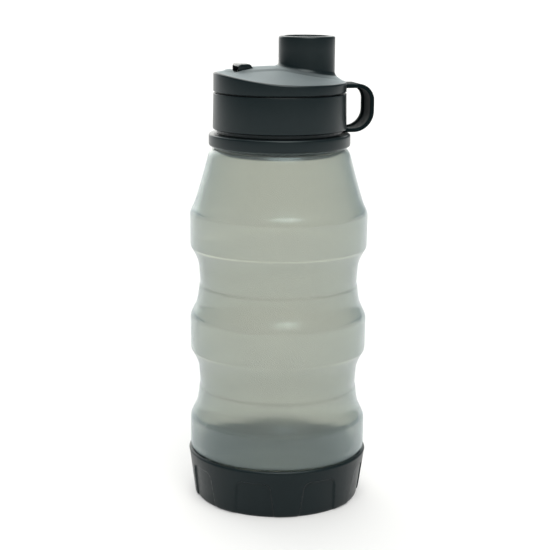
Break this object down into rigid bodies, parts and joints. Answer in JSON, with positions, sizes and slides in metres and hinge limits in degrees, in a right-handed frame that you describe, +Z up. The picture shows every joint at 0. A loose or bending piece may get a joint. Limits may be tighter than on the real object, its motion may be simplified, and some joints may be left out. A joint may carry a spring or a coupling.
{
  "type": "collapsible water bottle",
  "caption": "Collapsible silicone water bottle with fold-down waists, a screw lid, a wide open spout, a pull-up vent plug and a carry loop.",
  "frame": {"origin": "centre of the boot's flat underside, where the bottle's axis meets the table", "axes": "+Z up along the bottle's axis, +X towards the carry loop, and the loop, spout and vent plug lie in the plane y = 0"},
  "size_m": [0.0876, 0.0866, 0.224],
  "materials": {
    "dark_plastic": "satin slate grey polypropylene",
    "dark_strap": "matt slate grey elastomer",
    "seal_rubber": "matt pale grey silicone rubber",
    "silicone": "translucent smoky silicone rubber, satin"
  },
  "bodies": {
    "base": {"boot": "dark_plastic", "silicone_base_cup": "silicone", "silicone_fold_lower": "silicone"},
    "middle": {"silicone_band_middle": "silicone", "silicone_fold_upper": "silicone"},
    "top": {"silicone_band_top": "silicone", "silicone_shoulder": "silicone"},
    "neck": {"silicone_neck": "silicone", "collar_ring": "dark_plastic", "neck_insert": "dark_plastic"},
    "gasket": {"lid_gasket": "seal_rubber"},
    "lid": {"lid_skirt": "dark_plastic", "cover_seal": "seal_rubber", "lid_cover": "dark_plastic", "spout_valve": "seal_rubber", "valve_retainer": "dark_plastic", "carry_loop": "dark_strap"},
    "vent": {"vent_plug": "dark_plastic", "vent_o_ring": "seal_rubber"}
  },
  "joints": [
    {"name": "fold_lower", "type": "slide", "parent": "base", "child": "middle", "axis": [0, 0, -1], "range_m": [0, 0.028], "deforming": ["silicone_fold_lower"]},
    {"name": "fold_upper", "type": "slide", "parent": "middle", "child": "top", "axis": [0, 0, -1], "range_m": [0, 0.028], "deforming": ["silicone_fold_upper"]},
    {"name": "fold_shoulder", "type": "slide", "parent": "top", "child": "neck", "axis": [0, 0, -1], "range_m": [0, 0.022], "deforming": ["silicone_shoulder"]},
    {"name": "lid_rise", "type": "slide", "parent": "neck", "child": "gasket", "axis": [0, 0, 1], "range_m": [0, 0.0076]},
    {"name": "lid_turn", "type": "hinge", "parent": "gasket", "child": "lid", "pos_m": [0, 0, 0.19], "axis": [0, 0, 1], "range_deg": [0, 540]},
    {"name": "vent_pull", "type": "slide", "parent": "lid", "child": "vent", "axis": [0, 0, 1], "range_m": [0, 0.0025]}
  ],
  "couplings": [
    {"joint": "lid_rise", "follows": "lid_turn", "m_per_rad": 0.00079577}
  ]
}
